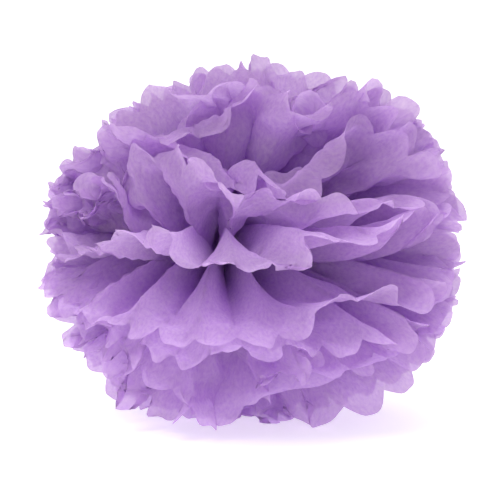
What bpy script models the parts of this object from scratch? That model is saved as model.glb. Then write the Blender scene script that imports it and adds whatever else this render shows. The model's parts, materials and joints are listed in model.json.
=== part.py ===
"""Tissue paper pom pom: pleated sheets of tissue, tied in the middle with wire and pulled open.

A stack of tissue sheets is pleated together into one narrow strip. The strip is tied round its
middle with thin wire, both of its ends are cut round, and then the sheets are pulled apart, half of
them to the front (-Y) and half to the back (+Y). Every sheet so gives two half fans, one above the
tie and one below it, and each pleat ends in one scallop. The strip runs along Z, the pleats are
counted along X, and the flat side of the fans faces the front.

Each sheet is one folded solid. Units are metres, and +Z is up.
"""

import math

import bmesh
import bpy
from mathutils import Vector

# The paper and how it is folded
SHEETS = 12
PLEATS = 18
PAPER_THICKNESS = 0.0004        # stands in for real tissue, which is about 0.04 mm thick
NECK_PITCH = PAPER_THICKNESS + 0.0004   # from one sheet to the next where the wire gathers them
NECK_HALF_WIDTH = 0.0045        # along X, where the pleats are pressed together
NECK_HALF_HEIGHT = 0.0016       # of the outermost sheets, above and below the wire
NECK_STEP = 0.0008              # by which each sheet further in turns away later

# How the sheets are pulled open
OUTER_TILT = math.radians(76)   # of the first and the last sheet, from upright
NOD = math.radians(16)          # by which the front opening looks up and the back one down
FAN_HALF_ANGLE = math.radians(75)
PLEAT_SLOPE = math.radians(38)  # of a pleat's face, measured from the fan's plane
REACH_UPRIGHT = 0.141           # from the tie to a scallop's top, straight up or down
REACH_RIGHT = 0.183             # towards +X, where the petals lie out flat
REACH_LEFT = 0.142              # towards -X, where they are cupped
REACH_STEP = (1.0, 0.97, 1.02, 0.98)    # repeats from sheet to sheet
SCALLOP_DEPTH = 0.0105
SHOULDER = 0.27                 # where a scallop's top begins, as a share of the pleat's width
INNER_ROW = 0.42                # the middle row's place along a fan, as a share of its reach

# The height of the tie over what the pom pom rests on, which presses its lowest petals flat
TIE_HEIGHT = 0.132

# The tie
WIRE_RADIUS = 0.0004
WIRE_GAP = 0.0004
WIRE_LOOP_POINTS = 24
TWIST_LENGTH = 0.012
TWIST_TURNS = 2.5
TWIST_POINTS = 26
TWIST_RADIUS = 0.0007           # of the helix that each end of the wire follows

FRONT = Vector((0.0, -1.0, 0.0))
RIGHT = Vector((1.0, 0.0, 0.0))


def clear_scene():
    """Remove every object that the file opens with."""
    for thing in list(bpy.data.objects):
        bpy.data.objects.remove(thing, do_unlink=True)


def plain_material(name, colour, roughness, metallic):
    """A Principled material with one colour."""
    material = bpy.data.materials.new(name)
    material.use_nodes = True
    shader = material.node_tree.nodes["Principled BSDF"]
    shader.inputs["Base Color"].default_value = (*colour, 1.0)
    shader.inputs["Roughness"].default_value = roughness
    shader.inputs["Metallic"].default_value = metallic
    return material


def add_object(name, data, material):
    """Put a mesh or a curve into the scene as one named piece."""
    thing = bpy.data.objects.new(name, data)
    thing.data.materials.append(material)
    bpy.context.collection.objects.link(thing)
    return thing


def fan_tilt(sheet, side):
    """How far a fan leans to the front; the fans of the last sheets lean to the back."""
    return OUTER_TILT * (1 - 2 * sheet / (SHEETS - 1)) - side * NOD


def fan_reach(sheet, angle):
    """The distance from the tie to the top of the scallop at this angle from upright."""
    sideways = math.sin(angle)
    reach_sideways = REACH_RIGHT if sideways > 0 else REACH_LEFT
    reach = REACH_UPRIGHT + (reach_sideways - REACH_UPRIGHT) * sideways**2
    return reach * REACH_STEP[sheet % len(REACH_STEP)]


class Fan:
    """Half of one sheet: a pleated half disc that starts at the tie, above it or below it."""

    def __init__(self, sheet, side):
        tilt = fan_tilt(sheet, side)
        steps_inwards = min(sheet, SHEETS - 1 - sheet)
        height = NECK_HALF_HEIGHT + NECK_STEP * steps_inwards
        depth = NECK_PITCH * ((SHEETS - 1) / 2 - sheet)
        self.sheet = sheet
        self.side = side
        self.neck = FRONT * depth + Vector((0.0, 0.0, side * height))
        self.outwards = Vector((0.0, -math.sin(tilt), side * math.cos(tilt)))
        self.facing = Vector((0.0, -math.cos(tilt), -side * math.sin(tilt)))

    def angle(self, place):
        """The angle from upright of a place counted in pleats from the left."""
        return FAN_HALF_ANGLE * (2 * place / PLEATS - 1)

    def fold(self, place):
        """Where a place is between the back creases (-1) and the front creases (+1)."""
        crease = math.floor(place)
        share = place - crease
        sign = 1 if crease % 2 else -1
        return sign * (1 - 2 * share)

    def point(self, place, distance):
        """A point in the paper's middle, its distance measured from the tie."""
        angle = self.angle(place)
        spacing = distance * 2 * FAN_HALF_ANGLE / PLEATS
        fold_height = spacing / 2 * math.tan(PLEAT_SLOPE)
        direction = RIGHT * math.sin(angle) + self.outwards * math.cos(angle)
        root = self.neck + RIGHT * NECK_HALF_WIDTH * (2 * place / PLEATS - 1)
        return root + direction * distance + self.facing * self.fold(place) * fold_height

    def neck_row(self):
        """The creases where the wire gathers them."""
        return [self.point(crease, 0.0) for crease in range(PLEATS + 1)]

    def crease_row(self, share):
        """The creases at this share of the way to the scallops' roots."""
        row = []
        for crease in range(PLEATS + 1):
            root = fan_reach(self.sheet, self.angle(crease)) - SCALLOP_DEPTH
            row.append(self.point(crease, root * share))
        return row

    def scallop_tops(self):
        """The two shoulders of every scallop."""
        tops = []
        for pleat in range(PLEATS):
            for place in (pleat + SHOULDER, pleat + 1 - SHOULDER):
                tops.append(self.point(place, fan_reach(self.sheet, self.angle(place))))
        return tops


def add_strip(triangles, row_a, row_b):
    """Join two rows of vertex numbers with triangles."""
    for left in range(len(row_a) - 1):
        a, b = row_a[left], row_a[left + 1]
        c, d = row_b[left], row_b[left + 1]
        triangles.append((a, b, d))
        triangles.append((a, d, c))


def add_scallops(triangles, roots, tops, upwards):
    """Close each scallop between two creases with its two shoulders."""
    for pleat in range(PLEATS):
        a, b = roots[pleat], roots[pleat + 1]
        c, d = tops[2 * pleat], tops[2 * pleat + 1]
        pair = [(a, b, d), (a, d, c)]
        triangles.extend(pair if upwards else [corner[::-1] for corner in pair])


def sheet_surface(sheet):
    """The middle surface of one sheet: points, the way each is thickened, and triangles."""
    lower, upper = Fan(sheet, -1), Fan(sheet, 1)
    points, thickening, rows, triangles = [], [], {}, []

    def add_row(name, row, direction):
        rows[name] = list(range(len(points), len(points) + len(row)))
        points.extend(row)
        thickening.extend([direction] * len(row))

    add_row("lower tops", lower.scallop_tops(), lower.facing)
    add_row("lower roots", lower.crease_row(1.0), lower.facing)
    add_row("lower inner", lower.crease_row(INNER_ROW), lower.facing)
    add_row("lower neck", lower.neck_row(), (lower.facing + FRONT).normalized())
    add_row("upper neck", upper.neck_row(), (upper.facing + FRONT).normalized())
    add_row("upper inner", upper.crease_row(INNER_ROW), upper.facing)
    add_row("upper roots", upper.crease_row(1.0), upper.facing)
    add_row("upper tops", upper.scallop_tops(), upper.facing)

    add_scallops(triangles, rows["lower roots"], rows["lower tops"], upwards=False)
    order = ("lower roots", "lower inner", "lower neck", "upper neck", "upper inner", "upper roots")
    for name_a, name_b in zip(order, order[1:]):
        add_strip(triangles, rows[name_a], rows[name_b])
    add_scallops(triangles, rows["upper roots"], rows["upper tops"], upwards=True)
    return points, thickening, triangles


def rest_on_floor(point):
    """Press a point that would be lower than the floor back up to it."""
    return Vector((point.x, point.y, max(point.z, -TIE_HEIGHT)))


def build_sheet(sheet, material):
    """One sheet as a closed solid: two surfaces a paper's thickness apart, closed at the rim."""
    points, thickening, triangles = sheet_surface(sheet)
    mesh = bmesh.new()
    front, back = [], []
    for point, direction in zip(points, thickening):
        offset = direction * PAPER_THICKNESS / 2
        front.append(mesh.verts.new(rest_on_floor(point + offset)))
        back.append(mesh.verts.new(rest_on_floor(point - offset)))
    edges = {}
    for corners in triangles:
        mesh.faces.new([front[corner] for corner in corners])
        mesh.faces.new([back[corner] for corner in reversed(corners)])
        for start, end in zip(corners, corners[1:] + corners[:1]):
            edges[(start, end)] = (end, start)
    for (start, end), opposite in edges.items():
        if opposite not in edges:
            mesh.faces.new((front[end], front[start], back[start], back[end]))
    bmesh.ops.triangulate(mesh, faces=[face for face in mesh.faces if len(face.verts) > 3])
    bmesh.ops.recalc_face_normals(mesh, faces=mesh.faces)
    data = bpy.data.meshes.new(f"tissue_sheet_{sheet + 1:02d}")
    mesh.to_mesh(data)
    mesh.free()
    return add_object(data.name, data, material)


def wire_path():
    """The wire's middle line: a twisted tail at the back, once round the gathered neck, and back."""
    half_depth = NECK_PITCH * (SHEETS - 1) / 2 + PAPER_THICKNESS / 2 + WIRE_GAP + WIRE_RADIUS
    half_width = NECK_HALF_WIDTH + PAPER_THICKNESS + WIRE_GAP + WIRE_RADIUS
    corner = 0.5                # how square the loop is: 1 is an ellipse
    loop = []
    for step in range(WIRE_LOOP_POINTS + 1):
        turn = math.radians(90) + math.radians(12) + math.radians(336) * step / WIRE_LOOP_POINTS
        across, along = math.cos(turn), math.sin(turn)
        loop.append(Vector((
            half_width * math.copysign(abs(across) ** corner, across) * 1.08,
            half_depth * math.copysign(abs(along) ** corner, along) * 1.08,
            0.0,
        )))
    start = half_depth * 1.08 + 2.5 * WIRE_RADIUS

    def tail(phase):
        """One end of the wire, from the loop out along the middle of the back opening."""
        points = []
        for step in range(TWIST_POINTS + 1):
            share = step / TWIST_POINTS
            turn = phase + math.tau * TWIST_TURNS * share
            along = TWIST_LENGTH * share
            points.append(Vector((
                TWIST_RADIUS * math.cos(turn),
                start + along * math.cos(NOD),
                TWIST_RADIUS * math.sin(turn) - along * math.sin(NOD),
            )))
        return points

    return tail(math.pi)[::-1] + loop + tail(0.0)


def build_wire(material):
    """The wire that ties the strip, as a round bar along its path."""
    curve = bpy.data.curves.new("tie_wire", "CURVE")
    curve.dimensions = "3D"
    curve.bevel_depth = WIRE_RADIUS
    curve.bevel_resolution = 1
    curve.use_fill_caps = True
    path = wire_path()
    spline = curve.splines.new("POLY")
    spline.points.add(len(path) - 1)
    for point, place in zip(spline.points, path):
        point.co = (*place, 1.0)
    return add_object("tie_wire", curve, material)


def stand_at_origin(pieces):
    """Move the pieces so that the middle of their outline's underside is the origin."""
    bpy.context.view_layer.update()
    corners = [piece.matrix_world @ Vector(corner) for piece in pieces for corner in piece.bound_box]
    middle_x = (min(c.x for c in corners) + max(c.x for c in corners)) / 2
    middle_y = (min(c.y for c in corners) + max(c.y for c in corners)) / 2
    lowest = min(c.z for c in corners)
    base = bpy.data.objects.new("pom_pom", None)
    bpy.context.collection.objects.link(base)
    base.location = (-middle_x, -middle_y, -lowest)
    for piece in pieces:
        piece.parent = base


def main():
    """Build the pom pom."""
    clear_scene()
    tissue = plain_material("lavender_tissue", (0.42, 0.25, 0.56), 0.75, 0.0)
    steel = plain_material("tie_steel", (0.45, 0.45, 0.46), 0.4, 1.0)
    pieces = [build_sheet(sheet, tissue) for sheet in range(SHEETS)]
    pieces.append(build_wire(steel))
    stand_at_origin(pieces)


main()
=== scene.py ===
"""A tissue paper pom pom: pleated sheets of lavender tissue, tied in the middle and pulled open.

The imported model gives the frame: where the tie is, and the room that each folded sheet may take.
Every sheet is rebuilt here as one thin, single-layer piece of paper. Its flat cut, with a round
scallop at both ends of every pleat, is laid out as a grid, placed as two pleated fans that leave
the tie, and then relaxed: the grid's lengths go back to those of the flat paper, so that the fans
buckle, sag and cup as paper does, while neighbouring sheets push each other apart. Afterwards the
grid is refined, creased, and given its finish.
"""

from __future__ import annotations

import json
import logging
import math
from dataclasses import dataclass, field
from enum import Enum

import bpy
import numpy as np
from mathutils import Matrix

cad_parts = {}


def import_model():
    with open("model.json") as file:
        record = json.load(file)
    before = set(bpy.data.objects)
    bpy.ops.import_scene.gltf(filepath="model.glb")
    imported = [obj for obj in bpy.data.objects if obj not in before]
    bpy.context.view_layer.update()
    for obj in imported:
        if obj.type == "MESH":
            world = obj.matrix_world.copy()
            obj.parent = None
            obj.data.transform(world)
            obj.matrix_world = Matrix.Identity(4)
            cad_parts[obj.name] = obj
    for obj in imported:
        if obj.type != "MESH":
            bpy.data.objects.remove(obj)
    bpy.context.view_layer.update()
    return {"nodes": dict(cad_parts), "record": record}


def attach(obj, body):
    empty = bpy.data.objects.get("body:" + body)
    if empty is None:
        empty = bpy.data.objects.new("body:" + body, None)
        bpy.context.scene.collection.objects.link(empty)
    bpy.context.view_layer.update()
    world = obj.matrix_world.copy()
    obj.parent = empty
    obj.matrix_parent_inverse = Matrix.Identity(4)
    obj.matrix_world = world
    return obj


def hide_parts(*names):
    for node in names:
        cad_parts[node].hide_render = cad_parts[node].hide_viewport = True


LOG = logging.getLogger("pom_pom")
RIGHT = np.array([1.0, 0.0, 0.0])
FRONT = np.array([0.0, -1.0, 0.0])
UP = np.array([0.0, 0.0, 1.0])


class Half(Enum):
    """The two fans of a sheet, by the side of the tie on which they are."""

    LOWER = -1
    UPPER = 1


def ease(values: np.ndarray) -> np.ndarray:
    """Smooth step from 0 to 1 for values from 0 to 1."""
    share = np.clip(values, 0.0, 1.0)
    return share * share * (3.0 - 2.0 * share)


def unit(vectors: np.ndarray) -> np.ndarray:
    """Vectors of length 1 along the last axis."""
    return vectors / np.maximum(np.linalg.norm(vectors, axis=-1, keepdims=True), 1e-12)


def soft_noise(
    rng: np.random.Generator, shape: tuple[int, ...], widths: tuple[float, ...]
) -> np.ndarray:
    """Random numbers that change smoothly along each axis.

    Args:
        rng: The seeded source of the numbers.
        shape: The size of the array.
        widths: How far along each axis neighbours look alike, in steps; 0 leaves them apart.

    Returns:
        An array of that shape with mean 0 and a standard deviation of 1.
    """
    margins = [int(math.ceil(3 * width)) for width in widths]
    noise = rng.standard_normal([size + 2 * margin for size, margin in zip(shape, margins)])
    for axis, (width, margin) in enumerate(zip(widths, margins)):
        if margin:
            reach = np.arange(-margin, margin + 1)
            kernel = np.exp(-0.5 * (reach / width) ** 2)
            kernel /= math.sqrt((kernel**2).sum())
            noise = np.apply_along_axis(np.convolve, axis, noise, kernel, "valid")
    return (noise - noise.mean()) / noise.std()


def spline_matrix(knots: int, splits: int) -> np.ndarray:
    """The matrix that takes values at evenly spaced knots to a natural cubic spline's values.

    Args:
        knots: The number of values that are known.
        splits: How many steps each stretch between two knots is split into.

    Returns:
        A matrix with a row for each place on the spline and a column for each knot.
    """
    bend = np.zeros((knots, knots))
    load = np.zeros((knots, knots))
    bend[0, 0] = bend[-1, -1] = 1.0
    for knot in range(1, knots - 1):
        bend[knot, knot - 1:knot + 2] = (1 / 6, 4 / 6, 1 / 6)
        load[knot, knot - 1:knot + 2] = (1.0, -2.0, 1.0)
    second = np.linalg.solve(bend, load)
    matrix = np.zeros(((knots - 1) * splits + 1, knots))
    for place in range(len(matrix)):
        knot = min(place // splits, knots - 2)
        t = place / splits - knot
        matrix[place, knot] += 1 - t
        matrix[place, knot + 1] += t
        matrix[place] += ((1 - t) ** 3 - (1 - t)) / 6 * second[knot]
        matrix[place] += (t**3 - t) / 6 * second[knot + 1]
    return matrix


@dataclass(frozen=True)
class PaperCut:
    """The flat sheet: its size, its pleats and its scalloped ends."""

    width: float = 0.508
    length: float = 0.356
    pleats: int = 18
    scallop_depth: float = 0.0135

    @property
    def pleat(self) -> float:
        """The width of one pleat."""
        return self.width / self.pleats

    @property
    def half(self) -> float:
        """The distance from the tie to a scallop's top, along the paper."""
        return self.length / 2

    def area(self) -> float:
        """The flat area once both ends are cut round."""
        lost_share = 1 - math.pi / 4
        return self.width * self.length - 2 * self.width * self.scallop_depth * lost_share

    def grid(self, cells: int, rows: int) -> tuple[np.ndarray, np.ndarray]:
        """Flat places of a grid whose last rows follow the scallops.

        Args:
            cells: Steps across each pleat.
            rows: Steps from the tie to either end.

        Returns:
            The place across the pleats and the place along them, as arrays of rows and columns.
        """
        across = np.arange(self.pleats * cells + 1) / cells
        bulge = 2 * (across - np.floor(across)) - 1
        top = self.half - self.scallop_depth * (1 - np.sqrt(np.clip(1 - bulge**2, 0, 1)))
        along = np.linspace(-1, 1, 2 * rows + 1)
        return (
            np.broadcast_to(across * self.pleat, (len(along), len(across))),
            along[:, None] * top[None, :],
        )


@dataclass
class Arrangement:
    """How the sheets were pulled open: where the fans of every sheet point, bend and wave."""

    cut: PaperCut
    tie: np.ndarray
    sheets: int = 12
    cells: int = 4
    rows: int = 20
    outer_tilt: float = 76.0
    nod: float = 16.0
    neck_width: float = 0.0042
    neck_depth: float = 0.0036
    lower_tilts: tuple = (98, 74, 63, 52, 36, 17, 2, -12, -28, -44, -62, -80)
    upper_tilts: tuple = (60, 43, 29, 16, 5, -8, -20, -33, -46, -60, -76, -92)
    seed: int = 6
    rng: np.random.Generator = field(init=False)

    def __post_init__(self) -> None:
        """Start the seeded random numbers."""
        self.rng = np.random.default_rng(self.seed)

    def base_tilts(self, half: Half) -> np.ndarray:
        """How far each sheet's fan leans to the front, in degrees from upright."""
        tilts = self.lower_tilts if half is Half.LOWER else self.upper_tilts
        return np.array(tilts, dtype=float)

    def crease_angles(self, half: Half) -> np.ndarray:
        """The direction of every crease within its fan, in degrees from the fan's middle.

        Args:
            half: The fan's side.

        Returns:
            Angles by sheet and crease. Some pleats lie open and others stay nearly shut.
        """
        self.rng = np.random.default_rng([self.seed, half.value + 1])
        pleats = self.cut.pleats
        place = np.arange(pleats) / (pleats - 1)
        together = soft_noise(self.rng, (1, pleats), (0, 0.8))
        own = soft_noise(self.rng, (self.sheets, pleats), (0.5, 0.5))
        openness = np.exp(0.15 * together + 0.38 * own) * (1 - 0.42 * ease((place - 0.62) / 0.2))
        ends = np.cumsum(openness, axis=1)
        share = np.concatenate([np.zeros((self.sheets, 1)), ends], axis=1) / ends[:, -1:]
        spread = 160 + 6 * self.rng.standard_normal((self.sheets, 1))
        lean = 3 * self.rng.standard_normal((self.sheets, 1))
        return np.clip((share - 0.5) * spread + lean, -88, 88)

    def folds(self, half: Half, share: np.ndarray) -> np.ndarray:
        """Tips that are folded over, as turns to be added to the tilt, in degrees.

        Args:
            half: The fans' side.
            share: How far out each row is, from 0 to 1.

        Returns:
            Turns by sheet, row and crease.
        """
        self.rng = np.random.default_rng([self.seed, half.value + 21])
        turns = np.zeros((self.sheets, share.shape[1], self.cut.pleats + 1))
        creases = np.arange(self.cut.pleats + 1)[None, :]
        count = 2 if half is Half.LOWER else 8
        for sheet in range(self.sheets):
            for _ in range(count):
                middle = self.rng.uniform(0, self.cut.pleats)
                width = self.rng.uniform(0.7, 1.6)
                start = self.rng.uniform(0.5, 0.82) + 0.05 * self.rng.uniform(-1, 1) * (creases - middle)
                size = self.rng.uniform(45, 120) * self.rng.choice([-1.0, 1.0, 1.0])
                here = np.exp(-(((creases - middle) / width) ** 2))
                turns[sheet] += size * here * ease((share[0] - start) / 0.12)
        return turns

    def half_target(self, half: Half) -> np.ndarray:
        """The middle lines of the creases and the pleats' zigzag around them.

        Args:
            half: The fan's side.

        Returns:
            Points by sheet, row (from the tie outwards) and column.
        """
        cut, pleats, rows = self.cut, self.cut.pleats, self.rows
        angles = self.crease_angles(half)[:, None, :]
        share = np.linspace(0, 1, rows + 1)[None, :, None]
        tilts = self.base_tilts(half)[:, None, None]
        size = (self.sheets, 1, pleats + 1)
        self.rng = np.random.default_rng([self.seed, half.value + 11])
        wave = soft_noise(self.rng, size, (0.6, 0, 1.4)) * 6.0
        flick = soft_noise(self.rng, size, (0.35, 0, 0.55)) * 18.0
        sway = soft_noise(self.rng, size, (0.5, 0, 1.0)) * 5.0
        loose = 0.8 if half is Half.LOWER else 2.0
        straight = self.flatness(angles)
        arch = 26 * np.sin(np.radians(tilts)) * np.cos(np.radians(angles)) * (1 - straight)
        tilt = tilts + arch * (0.35 - share**1.5) * ease(share * 4) + wave * loose * share
        tilt = tilt + (flick * loose * share**3 + self.folds(half, share)) * (1 - 0.7 * straight)
        angle = angles * (1 - 0.04 * share**2) + sway * loose * share**2
        tilt_r, angle_r = np.radians(tilt), np.radians(angle)
        outwards = UP * half.value * np.cos(tilt_r)[..., None] + FRONT * np.sin(tilt_r)[..., None]
        facing = FRONT * np.cos(tilt_r)[..., None] - UP * half.value * np.sin(tilt_r)[..., None]
        direction = RIGHT * np.sin(angle_r)[..., None] + outwards * np.cos(angle_r)[..., None]
        length = cut.half * self.taken_up(angles, half) / rows
        steps = direction * np.broadcast_to(length, direction.shape[:-1])[..., None]
        steps[:, 0] = 0
        spines = np.cumsum(steps, axis=1)
        order = (np.arange(self.sheets) / (self.sheets - 1) - 0.5)[:, None, None, None]
        across = (np.arange(pleats + 1) / pleats * 2 - 1)[None, None, :, None]
        spines = spines + RIGHT * self.neck_width * across - FRONT * self.neck_depth * order
        spacing = np.linalg.norm(np.diff(spines, axis=2), axis=-1)
        spacing = np.concatenate([spacing[..., :1], spacing, spacing[..., -1:]], axis=2)
        spacing = np.minimum((spacing[..., 1:] + spacing[..., :-1]) / 2, cut.pleat)
        height = 0.5 * np.sqrt(cut.pleat**2 - spacing**2)
        room = 0.0012 + 0.35 * cut.half * share
        height = np.minimum(height, room)
        sign = np.where(np.arange(pleats + 1) % 2, 1.0, -1.0)
        creases = spines + facing * (height * sign)[..., None]
        panel = np.linspace(0, 1, self.cells + 1)[:-1, None]
        between = creases[:, :, :-1, None] * (1 - panel) + creases[:, :, 1:, None] * panel
        flat = between.reshape(self.sheets, rows + 1, pleats * self.cells, 3)
        points = self.cut_round(np.concatenate([flat, creases[:, :, -1:]], axis=2))
        return points + self.crumple(half, points)

    def cut_round(self, points: np.ndarray) -> np.ndarray:
        """Draw every column in to where the scallops end it.

        Args:
            points: Points by sheet, row and column, all of the paper's full length.

        Returns:
            The same columns, each with its own length.
        """
        _, along = self.cut.grid(self.cells, self.rows)
        place = np.arange(self.rows + 1)[:, None] * along[-1] / self.cut.half
        low = np.minimum(place.astype(int), self.rows - 1)
        rest = (place - low)[None, :, :, None]
        column = np.arange(points.shape[2])[None, :]
        return points[:, low, column] * (1 - rest) + points[:, low + 1, column] * rest

    def crumple(self, half: Half, points: np.ndarray) -> np.ndarray:
        """Large dents with sharp ridges between them, deeper in the upper half.

        Args:
            half: The fans' side.
            points: The fans' points.

        Returns:
            How far each point moves.
        """
        u, v = self.cut.grid(self.cells, self.rows)
        u, v = u[self.rows:], v[self.rows:]
        far = v / self.cut.half
        depth = 0.0025 if half is Half.LOWER else 0.0085
        moves = np.zeros_like(points)
        self.rng = np.random.default_rng([self.seed, half.value + 31])
        for sheet in range(self.sheets):
            height = facets(self.rng, u, v, 0.034) + 0.5 * facets(self.rng, u, v, 0.019)
            normal = unit(
                np.cross(np.gradient(points[sheet], axis=1), np.gradient(points[sheet], axis=0))
            )
            moves[sheet] = normal * (height * depth * ease(far * 2 - 0.3))[..., None]
        return moves

    @staticmethod
    def flatness(angles: np.ndarray) -> np.ndarray:
        """How straight the petals lie out: 1 at the far right, 0 from upright to the left."""
        return ease((np.sin(np.radians(angles)) - 0.35) / 0.6)

    def taken_up(self, angles: np.ndarray, half: Half) -> np.ndarray:
        """The share of the paper's length that small crinkles leave, by crease."""
        self.rng = np.random.default_rng([self.seed, half.value + 41])
        left = ease((-np.sin(np.radians(angles)) - 0.2) / 0.7)
        upright = 0.84 if half is Half.UPPER else 0.83
        shares = upright + (0.99 - upright) * self.flatness(angles) + (0.73 - upright) * left
        return shares + 0.025 * soft_noise(self.rng, angles.shape, (0.5, 0, 0.7))

    def target(self) -> np.ndarray:
        """The points of all sheets, from the lowest row to the highest."""
        upper = self.half_target(Half.UPPER)
        lower = self.half_target(Half.LOWER)
        return np.concatenate([lower[:, :0:-1], upper], axis=1) + self.tie


@dataclass
class Relaxation:
    """Paper that goes back to its flat lengths, as far as its neighbours and the floor allow."""

    rest_u: np.ndarray
    rest_v: np.ndarray
    target: np.ndarray
    cells: int
    rows: int
    floor: float = 0.0006
    gap: float = 0.0016

    def __post_init__(self) -> None:
        """Prepare the grid's pairs of points and how freely each point moves."""
        self.points = self.target.copy()
        count = self.target.shape[1]
        far = np.abs(np.arange(count) - self.rows) / self.rows
        self.free = np.where(far < 0.09, 0.0, 1.0)[None, :, None]
        self.free = np.broadcast_to(self.free, self.target.shape[:3]).copy()
        self.far = far[None, :, None]
        self.pairs = []
        self.add_pairs(0, 1, 1.0)
        self.add_pairs(1, 0, 1.0)
        self.add_pairs(1, 1, 0.55)
        self.add_pairs(1, -1, 0.55)
        self.add_pairs(0, 2, 0.25, keep_creases=True)
        self.add_pairs(2, 0, 0.22)
        self.add_pairs(4, 0, 0.06)

    def add_pairs(self, down: int, across: int, stiffness: float, keep_creases: bool = False) -> None:
        """Tie every point to the one some rows and columns away.

        Args:
            down: Rows between the two points.
            across: Columns between the two points; negative is to the left.
            stiffness: The share of an error that one step takes away.
            keep_creases: Let the paper stay folded at the creases.
        """
        rows, columns = self.rest_u.shape
        shift = abs(across)
        first_columns = slice(shift, None) if across < 0 else slice(None, columns - shift)
        second_columns = slice(None, columns - shift) if across < 0 else slice(shift, None)
        first = (slice(0, rows - down), first_columns)
        second = (slice(down, rows), second_columns)
        rest = np.hypot(
            self.rest_u[second] - self.rest_u[first], self.rest_v[second] - self.rest_v[first]
        )
        strength = np.full(rest.shape, stiffness)
        rest = np.broadcast_to(rest, (len(self.target), *rest.shape)).copy()
        if down:
            rest = rest * self.shrink(first, second, down)
        if keep_creases:
            middle = np.arange(columns - shift) + shift // 2
            at_crease = middle % self.cells == 0
            folded = np.linalg.norm(
                self.target[:, second[0], second[1]] - self.target[:, first[0], first[1]], axis=-1
            )
            rest[:, :, at_crease] = folded[:, :, at_crease]
            strength[:, at_crease] *= 0.5
        period, axis = (2 * down, 0) if down else (2 * shift, 1)
        block = down or shift
        for phase in range(period // block):
            for offset in range(block):
                start = phase * block + offset
                keep = slice(start, None, period)
                picked = (keep, slice(None)) if axis == 0 else (slice(None), keep)
                chosen = []
                for place in (first, second):
                    index = [np.arange(rows)[place[0]], np.arange(columns)[place[1]]]
                    index[axis] = index[axis][keep]
                    chosen.append((slice(None), self.as_slice(index[0]), self.as_slice(index[1])))
                part = (slice(None), *picked)
                self.pairs.append((chosen[0], chosen[1], rest[part], strength[picked][None]))

    def shrink(self, first: tuple, second: tuple, down: int) -> np.ndarray:
        """How much shorter than in the flat paper the target's middle lines are, by column.

        Args:
            first: The pairs' first points.
            second: The pairs' second points.
            down: Rows between the two points; not used.

        Returns:
            Factors that can be multiplied with the rest lengths.
        """
        length = np.linalg.norm(np.diff(self.target, axis=1), axis=-1)
        flat = np.abs(np.diff(self.rest_v, axis=0))
        factor = np.empty_like(length)
        for half in (slice(0, self.rows), slice(self.rows, None)):
            whole = length[:, half].sum(axis=1, keepdims=True) / flat[half].sum(axis=0)
            factor[:, half] = np.minimum(whole, 1.0)
        factor = np.concatenate([factor[:, :1], factor], axis=1)
        return (factor[:, second[0], first[1]] + factor[:, second[0], second[1]]) / 2

    @staticmethod
    def as_slice(index: np.ndarray) -> slice:
        """The slice that picks evenly spaced numbers."""
        step = int(index[1] - index[0]) if len(index) > 1 else 1
        return slice(int(index[0]), int(index[-1]) + 1, step)

    def keep_lengths(self) -> None:
        """Move each pair of points towards its length in the flat paper."""
        for first, second, rest, strength in self.pairs:
            a, b = self.points[first], self.points[second]
            free_a, free_b = self.free[first], self.free[second]
            between = b - a
            length = np.sqrt((between * between).sum(-1)) + 1e-9
            share = strength * (length - rest) / (length * (free_a + free_b + 1e-6))
            a += between * (share * free_a)[..., None]
            b -= between * (share * free_b)[..., None]

    def keep_apart(self, facing: np.ndarray) -> None:
        """Push neighbouring sheets apart where they come too near or change places.

        Args:
            facing: For every point, the direction in which the sheets in front lie.
        """
        gap = self.gap * np.minimum(1.0, 0.15 + 3 * self.far)
        for parity in (0, 1):
            front = self.points[parity:-1:2]
            back = self.points[parity + 1::2]
            front = front[:len(back)]
            way = facing[parity:-1:2][:len(back)]
            depth = ((front - back) * way).sum(-1)
            lack = np.maximum(gap - depth, 0) * 0.5 * self.free[parity:-1:2][:len(back)]
            front += way * lack[..., None]
            back -= way * lack[..., None]

    def run(self, facing: np.ndarray, steps: int, guide: np.ndarray, weight: float) -> np.ndarray:
        """Relax the paper.

        Args:
            facing: For every point, the direction in which the sheets in front lie.
            steps: How many rounds to make.
            guide: How strongly each row is held to its place, by row.
            weight: How far gravity moves a free point in each round.

        Returns:
            The points of all sheets.
        """
        for step in range(steps):
            hold = guide * (1.0 - 0.7 * step / steps)
            self.points += (self.target - self.points) * (hold[None, :, None, None])
            self.points[..., 2] -= weight * self.free
            self.keep_lengths()
            self.keep_apart(facing)
            self.points[..., 2] = np.maximum(self.points[..., 2], self.floor)
        return self.points


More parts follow.
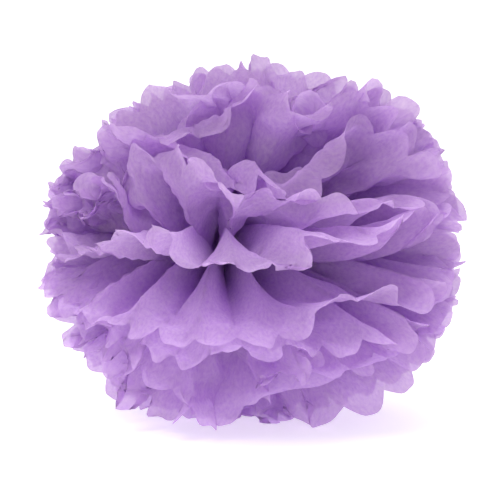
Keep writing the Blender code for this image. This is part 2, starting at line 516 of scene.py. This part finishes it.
def facets(rng: np.random.Generator, u: np.ndarray, v: np.ndarray, cell: float) -> np.ndarray:
    """Flat facets with sharp edges between them, as on crumpled paper.

    Args:
        rng: The seeded source of the facets' corners.
        u: Places across the paper.
        v: Places along the paper.
        cell: The facets' size.

    Returns:
        Heights from about -1 to 1.
    """
    turn = rng.uniform(0, math.pi)
    bend = 0.55 * cell
    x = u + bend * np.sin(v / cell * 1.1 + rng.uniform(0, 6)) + 0.5 * bend * np.sin(u / cell * 2.3)
    y = v + bend * np.sin(u / cell * 1.3 + rng.uniform(0, 6)) + 0.5 * bend * np.sin(v / cell * 1.9)
    a = (x * math.cos(turn) + y * math.sin(turn)) / cell
    b = (y * math.cos(turn) - x * math.sin(turn)) / cell
    a, b = a + b * 0.5, b * 0.866
    low_a, low_b = np.floor(a), np.floor(b)
    frac_a, frac_b = a - low_a, b - low_b
    low_a = (low_a - low_a.min()).astype(int)
    low_b = (low_b - low_b.min()).astype(int)
    heights = rng.uniform(-1, 1, (low_a.max() + 2, low_b.max() + 2))
    corner = heights[low_a, low_b]
    along_a = heights[low_a + 1, low_b]
    along_b = heights[low_a, low_b + 1]
    far = heights[low_a + 1, low_b + 1]
    near_half = frac_a + frac_b < 1
    first = corner + frac_a * (along_a - corner) + frac_b * (along_b - corner)
    second = far + (1 - frac_a) * (along_b - far) + (1 - frac_b) * (along_a - far)
    return np.where(near_half, first, second)


@dataclass
class SheetSurface:
    """The fine mesh of one sheet: smooth between its creases, with wrinkles on top."""

    cut: PaperCut
    cells: int
    rows: int
    fine: int = 3
    curl: float = 0.0095
    floor: float = 0.0003
    seed: int = 40

    def refine(self, points: np.ndarray) -> np.ndarray:
        """Add rows and columns between the relaxed ones; a crease stays a crease.

        Args:
            points: The relaxed grid of one sheet.

        Returns:
            The finer grid.
        """
        down = spline_matrix(len(points), self.fine)
        over = spline_matrix(self.cells + 1, self.fine)
        tall = np.tensordot(down, points, axes=(1, 0))
        pleats = self.cut.pleats
        panels = np.stack(
            [tall[:, i * self.cells:(i + 1) * self.cells + 1] for i in range(pleats)], axis=1
        )
        panels = np.einsum("fc,rpcx->rpfx", over, panels)
        inner = panels[:, :, :-1].reshape(len(tall), -1, 3)
        return np.concatenate([inner, panels[:, -1:, -1]], axis=1)

    def wrinkled(self, grid: np.ndarray, sheet: int) -> np.ndarray:
        """Press creases and dents into the refined grid.

        Args:
            grid: The refined grid of one sheet.
            sheet: The sheet's number, which seeds its wrinkles.

        Returns:
            The grid with its wrinkles.
        """
        rng = np.random.default_rng(self.seed + sheet)
        u, v = self.cut.grid(self.cells * self.fine, self.rows * self.fine)
        far = np.abs(v) / self.cut.half
        upper = ease(v / self.cut.half * 2.0 + 0.3)
        patches = np.clip(
            soft_noise(rng, (u.shape[0] // 4 + 1, u.shape[1] // 6 + 1), (2.0, 2.5)) * 0.5 + 0.6, 0.1, 1.4
        )
        patches = patches[
            np.minimum(np.arange(u.shape[0]) // 4, patches.shape[0] - 1)[:, None],
            np.minimum(np.arange(u.shape[1]) // 6, patches.shape[1] - 1)[None, :],
        ]
        coarse = facets(rng, u, v, 0.017)
        medium = facets(rng, u, v, 0.009)
        small = facets(rng, u, v, 0.005)
        height = 0.0017 * coarse + 0.0009 * medium + 0.0004 * small
        height = height * (0.4 + 0.7 * upper) * patches * ease(far * 5)
        height = height + self.curled(rng, u, v)
        normal = np.cross(np.gradient(grid, axis=1), np.gradient(grid, axis=0))
        grid = grid + unit(normal) * height[..., None]
        grid[..., 2] = np.maximum(grid[..., 2], self.floor)
        return grid

    def curled(self, rng: np.random.Generator, u: np.ndarray, v: np.ndarray) -> np.ndarray:
        """How far the free tip of every petal curls to the front or to the back.

        Args:
            rng: The seeded source of the curls.
            u: Places across the paper.
            v: Places along the paper.

        Returns:
            A height for each place.
        """
        panel = np.minimum((u / self.cut.pleat).astype(int), self.cut.pleats - 1)
        bulge = 2 * (u / self.cut.pleat - panel) - 1
        out = np.abs(v) / self.cut.half
        height = np.zeros_like(u)
        for half in Half:
            size = rng.normal(0, 1, self.cut.pleats)[panel]
            start = rng.uniform(0.68, 0.86, self.cut.pleats)[panel]
            slant = rng.uniform(-0.06, 0.06, self.cut.pleats)[panel] * bulge
            rise = np.clip((out - start - slant) / (1 - start), 0, 1.2) ** 1.7
            share = (1 - 0.75 * bulge**2) * (v * half.value > 0)
            height += self.curl * np.clip(size, -1.6, 1.6) * rise * share
        return height

    def build(self, name: str, points: np.ndarray, sheet: int) -> bpy.types.Object:
        """Make one sheet's mesh.

        Args:
            name: The piece's name.
            points: The relaxed grid of the sheet.
            sheet: The sheet's number.

        Returns:
            The piece, with the flat cut as its UV map.
        """
        grid = self.wrinkled(self.refine(points), sheet)
        rows, columns = grid.shape[:2]
        number = np.arange(rows * columns).reshape(rows, columns)
        quads = np.stack(
            [number[:-1, :-1], number[:-1, 1:], number[1:, 1:], number[1:, :-1]], axis=-1
        ).reshape(-1, 4)
        mesh = bpy.data.meshes.new(name)
        mesh.vertices.add(rows * columns)
        mesh.vertices.foreach_set("co", grid.astype(np.float32).ravel())
        mesh.loops.add(quads.size)
        mesh.loops.foreach_set("vertex_index", quads.ravel().astype(np.int32))
        mesh.polygons.add(len(quads))
        mesh.polygons.foreach_set("loop_start", np.arange(0, quads.size, 4, dtype=np.int32))
        mesh.polygons.foreach_set("use_smooth", np.ones(len(quads), dtype=bool))
        mesh.update(calc_edges=True)
        u, v = self.cut.grid(self.cells * self.fine, self.rows * self.fine)
        flat = np.stack([u, v + self.cut.half], axis=-1).reshape(-1, 2) + sheet * 0.37
        layer = mesh.uv_layers.new(name="flat_cut")
        layer.data.foreach_set("uv", flat[quads.ravel()].astype(np.float32).ravel())
        mesh.validate()
        piece = bpy.data.objects.new(name, mesh)
        bpy.context.collection.objects.link(piece)
        return piece


@dataclass
class TissueFinish:
    """Thin dyed tissue: matt, lets light through, with cloudy fibres and fine crinkles."""

    thick: tuple[float, float, float] = (0.65, 0.44, 0.71)
    thin: tuple[float, float, float] = (0.78, 0.61, 0.79)
    through: float = 0.6
    deep: tuple[float, float, float] = (0.63, 0.39, 0.87)
    clear: tuple[float, float, float] = (0.79, 0.59, 0.92)
    sheer: float = 0.2

    def material(self) -> bpy.types.Material:
        """The tissue's material."""
        material = bpy.data.materials.new("lavender_tissue_paper")
        material.use_nodes = True
        self.nodes, self.links = material.node_tree.nodes, material.node_tree.links
        self.nodes.clear()
        cloud = self.noise(420.0, (1.0, 0.55, 1.0), 4.0)
        crinkle = self.noise(240.0, (1.0, 1.0, 1.0), 3.0)
        lines = self.noise(520.0, (1.0, 0.07, 1.0), 2.0)
        height = self.nodes.new("ShaderNodeMath")
        height.operation = "MULTIPLY_ADD"
        height.inputs[1].default_value = 0.45
        self.links.new(lines, height.inputs[0])
        self.links.new(crinkle, height.inputs[2])
        bump = self.nodes.new("ShaderNodeBump")
        bump.inputs["Strength"].default_value = 0.6
        bump.inputs["Distance"].default_value = 0.0012
        self.links.new(height.outputs["Value"], bump.inputs["Height"])
        front = self.nodes.new("ShaderNodeBsdfDiffuse")
        front.inputs["Roughness"].default_value = 0.6
        behind = self.nodes.new("ShaderNodeBsdfTranslucent")
        for shader, colours in ((front, (self.thick, self.thin)), (behind, (self.deep, self.clear))):
            tint = self.tint(cloud, *colours)
            self.links.new(tint, shader.inputs["Color"])
            self.links.new(bump.outputs["Normal"], shader.inputs["Normal"])
        both = self.nodes.new("ShaderNodeMixShader")
        both.inputs["Fac"].default_value = self.through
        self.links.new(front.outputs["BSDF"], both.inputs[1])
        self.links.new(behind.outputs["BSDF"], both.inputs[2])
        gaps = self.nodes.new("ShaderNodeBsdfTransparent")
        gaps.inputs["Color"].default_value = (0.9, 0.76, 0.94, 1.0)
        whole = self.nodes.new("ShaderNodeMixShader")
        whole.inputs["Fac"].default_value = self.sheer
        self.links.new(both.outputs["Shader"], whole.inputs[1])
        self.links.new(gaps.outputs["BSDF"], whole.inputs[2])
        output = self.nodes.new("ShaderNodeOutputMaterial")
        self.links.new(whole.outputs["Shader"], output.inputs["Surface"])
        return material

    def noise(
        self, scale: float, stretch: tuple[float, float, float], detail: float
    ) -> bpy.types.NodeSocket:
        """Noise that lies on the flat paper.

        Args:
            scale: Its waves per metre.
            stretch: Factors for the scale across and along the pleats.
            detail: How many finer layers it has.

        Returns:
            The noise's value.
        """
        place = self.nodes.new("ShaderNodeUVMap")
        place.uv_map = "flat_cut"
        mapping = self.nodes.new("ShaderNodeMapping")
        mapping.inputs["Scale"].default_value = stretch
        self.links.new(place.outputs["UV"], mapping.inputs["Vector"])
        noise = self.nodes.new("ShaderNodeTexNoise")
        noise.inputs["Scale"].default_value = scale
        noise.inputs["Detail"].default_value = detail
        noise.inputs["Roughness"].default_value = 0.6
        self.links.new(mapping.outputs["Vector"], noise.inputs["Vector"])
        return noise.outputs["Fac"]

    def tint(
        self, value: bpy.types.NodeSocket, low: tuple[float, ...], high: tuple[float, ...]
    ) -> bpy.types.NodeSocket:
        """A colour between two others, by a noise's value."""
        ramp = self.nodes.new("ShaderNodeValToRGB")
        ramp.color_ramp.elements[0].position = 0.3
        ramp.color_ramp.elements[0].color = (*low, 1.0)
        ramp.color_ramp.elements[1].position = 0.72
        ramp.color_ramp.elements[1].color = (*high, 1.0)
        self.links.new(value, ramp.inputs["Fac"])
        return ramp.outputs["Color"]


@dataclass(frozen=True)
class WireFinish:
    """Thin drawn steel wire, a little dulled."""

    colour: tuple[float, float, float] = (0.42, 0.42, 0.44)

    def material(self) -> bpy.types.Material:
        """The wire's material."""
        material = bpy.data.materials.new("dull_steel_wire")
        material.use_nodes = True
        nodes, links = material.node_tree.nodes, material.node_tree.links
        shader = nodes["Principled BSDF"]
        shader.inputs["Metallic"].default_value = 1.0
        place = nodes.new("ShaderNodeTexCoord")
        grain = nodes.new("ShaderNodeTexNoise")
        grain.inputs["Scale"].default_value = 900.0
        links.new(place.outputs["Object"], grain.inputs["Vector"])
        shade = nodes.new("ShaderNodeMapRange")
        shade.inputs["To Min"].default_value = 0.3
        shade.inputs["To Max"].default_value = 0.55
        links.new(grain.outputs["Fac"], shade.inputs["Value"])
        links.new(shade.outputs["Result"], shader.inputs["Roughness"])
        tint = nodes.new("ShaderNodeValToRGB")
        tint.color_ramp.elements[0].color = (*[c * 0.7 for c in self.colour], 1.0)
        tint.color_ramp.elements[1].color = (*self.colour, 1.0)
        links.new(grain.outputs["Fac"], tint.inputs["Fac"])
        links.new(tint.outputs["Color"], shader.inputs["Base Color"])
        return material


@dataclass
class Studio:
    """A white table, soft lamps and the camera."""

    focus: np.ndarray
    view_width: float = 0.378
    distance: float = 1.5
    elevation: float = 8.0
    surround: float = 0.7

    def floor(self) -> bpy.types.Object:
        """The plain pale floor."""
        bpy.ops.mesh.primitive_circle_add(vertices=96, radius=60.0, fill_type="NGON", location=(0, 0, 0))
        floor = bpy.context.object
        floor.name = "floor"
        material = bpy.data.materials.new("white_table")
        material.use_nodes = True
        shader = material.node_tree.nodes["Principled BSDF"]
        shader.inputs["Base Color"].default_value = (0.93, 0.93, 0.93, 1.0)
        shader.inputs["Roughness"].default_value = 0.9
        shader.inputs["Specular IOR Level"].default_value = 0.1
        shader.inputs["Emission Color"].default_value = (1.0, 1.0, 1.0, 1.0)
        shader.inputs["Emission Strength"].default_value = 0.5
        floor.data.materials.append(material)
        return floor

    def lamp(self, name: str, place: tuple[float, float, float], size: float, power: float) -> None:
        """A square soft lamp that faces the object.

        Args:
            name: The lamp's name.
            place: Where it hangs, from the point that the camera looks at.
            size: Its side.
            power: Its power in watts.
        """
        data = bpy.data.lights.new(name, "AREA")
        data.energy = power
        data.size = size
        lamp = bpy.data.objects.new(name, data)
        lamp.location = self.focus + np.array(place)
        lamp.rotation_euler = self.aim(-np.array(place))
        bpy.context.collection.objects.link(lamp)

    @staticmethod
    def aim(direction: np.ndarray) -> tuple[float, float, float]:
        """The rotation that points a lamp or a camera along a direction."""
        x, y, z = unit(direction)
        return (math.acos(np.clip(-z, -1, 1)), 0.0, math.atan2(-x, y))

    def world(self) -> None:
        """An even white surround."""
        world = bpy.data.worlds.new("white_surround")
        world.use_nodes = True
        nodes, links = world.node_tree.nodes, world.node_tree.links
        background = nodes["Background"]
        background.inputs["Color"].default_value = (1.0, 1.0, 1.0, 1.0)
        background.inputs["Strength"].default_value = self.surround
        seen = nodes.new("ShaderNodeBackground")
        seen.inputs["Color"].default_value = (1.0, 1.0, 1.0, 1.0)
        path = nodes.new("ShaderNodeLightPath")
        either = nodes.new("ShaderNodeMixShader")
        links.new(path.outputs["Is Camera Ray"], either.inputs["Fac"])
        links.new(background.outputs["Background"], either.inputs[1])
        links.new(seen.outputs["Background"], either.inputs[2])
        links.new(either.outputs["Shader"], nodes["World Output"].inputs["Surface"])
        bpy.context.scene.world = world

    def camera(self) -> None:
        """The camera, a little above the middle of the pom pom."""
        data = bpy.data.cameras.new("camera")
        data.lens = data.sensor_width * self.distance / self.view_width
        data.clip_start = 0.01
        data.clip_end = 30.0
        camera = bpy.data.objects.new("camera", data)
        rise = math.radians(self.elevation)
        offset = np.array([0.0, -math.cos(rise), math.sin(rise)]) * self.distance
        camera.location = self.focus + offset
        camera.rotation_euler = self.aim(-offset)
        bpy.context.collection.objects.link(camera)
        bpy.context.scene.camera = camera

    def build(self) -> None:
        """Set up the studio."""
        self.floor()
        self.world()
        self.lamp("key_lamp", (-0.7, -0.9, 1.1), 0.5, 9.0)
        self.lamp("top_lamp", (0.3, 0.3, 1.5), 1.2, 7.0)
        self.camera()
        bpy.context.scene.view_settings.view_transform = "Standard"
        bpy.context.scene.cycles.diffuse_bounces = 8


@dataclass
class PomPom:
    """The whole pom pom: its sheets of tissue around the tie."""

    tie: np.ndarray
    sheets: int
    rounds: int = 50
    cut: PaperCut = field(default_factory=PaperCut)

    def relaxed_points(self, arrangement: Arrangement) -> np.ndarray:
        """The grid points of all sheets once the paper has settled."""
        target = arrangement.target()
        rest_u, rest_v = self.cut.grid(arrangement.cells, arrangement.rows)
        paper = Relaxation(rest_u, rest_v, target, arrangement.cells, arrangement.rows)
        rows = np.arange(2 * arrangement.rows + 1) - arrangement.rows
        facing = np.zeros_like(target)
        for half in Half:
            picked = rows * half.value >= 0
            tilt = np.radians(arrangement.base_tilts(half))[:, None, None, None]
            facing[:, picked] = FRONT * np.cos(tilt) - UP * half.value * np.sin(tilt)
        far = np.abs(rows) / arrangement.rows
        guide = 0.25 * (1 - far) ** 2 + 0.05
        return paper.run(facing, self.rounds, guide, 0.00002)

    def build(self) -> list[bpy.types.Object]:
        """Build, dress and declare every sheet.

        Returns:
            The sheets, from the front one to the back one.
        """
        arrangement = Arrangement(self.cut, self.tie, self.sheets)
        points = self.relaxed_points(arrangement)
        surface = SheetSurface(self.cut, arrangement.cells, arrangement.rows)
        tissue = TissueFinish().material()
        pieces = []
        for sheet in range(self.sheets):
            node = f"tissue_sheet_{sheet + 1:02d}"
            piece = surface.build(f"tissue_{sheet + 1:02d}", points[sheet], sheet)
            piece.data.materials.append(tissue)
            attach(piece, "root")
            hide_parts(node)
            self.cut.area()
            LOG.info("%s: %d points", piece.name, len(piece.data.vertices))
            pieces.append(piece)
        return pieces


def dress_wire(frame: dict) -> None:
    """Give the tie wire its finish.

    Args:
        frame: The loaded model.
    """
    wire = frame["nodes"]["tie_wire"]
    wire.data.materials.clear()
    wire.data.materials.append(WireFinish().material())


def main() -> None:
    """Build the pom pom and its studio."""
    logging.basicConfig(level=logging.INFO, format="%(name)s: %(message)s")
    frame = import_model()
    mounts = {mount["name"]: mount for mount in frame["record"]["mounts"]}
    tie = np.array(mounts["tie"]["pos_m"])
    sheets = sum(name.startswith("tissue_sheet_") for name in frame["nodes"])
    PomPom(tie, sheets).build()
    dress_wire(frame)
    Studio(focus=np.array([0.0025, 0.0, 0.1295])).build()
    bpy.context.view_layer.update()


if __name__ == "__main__":
    main()
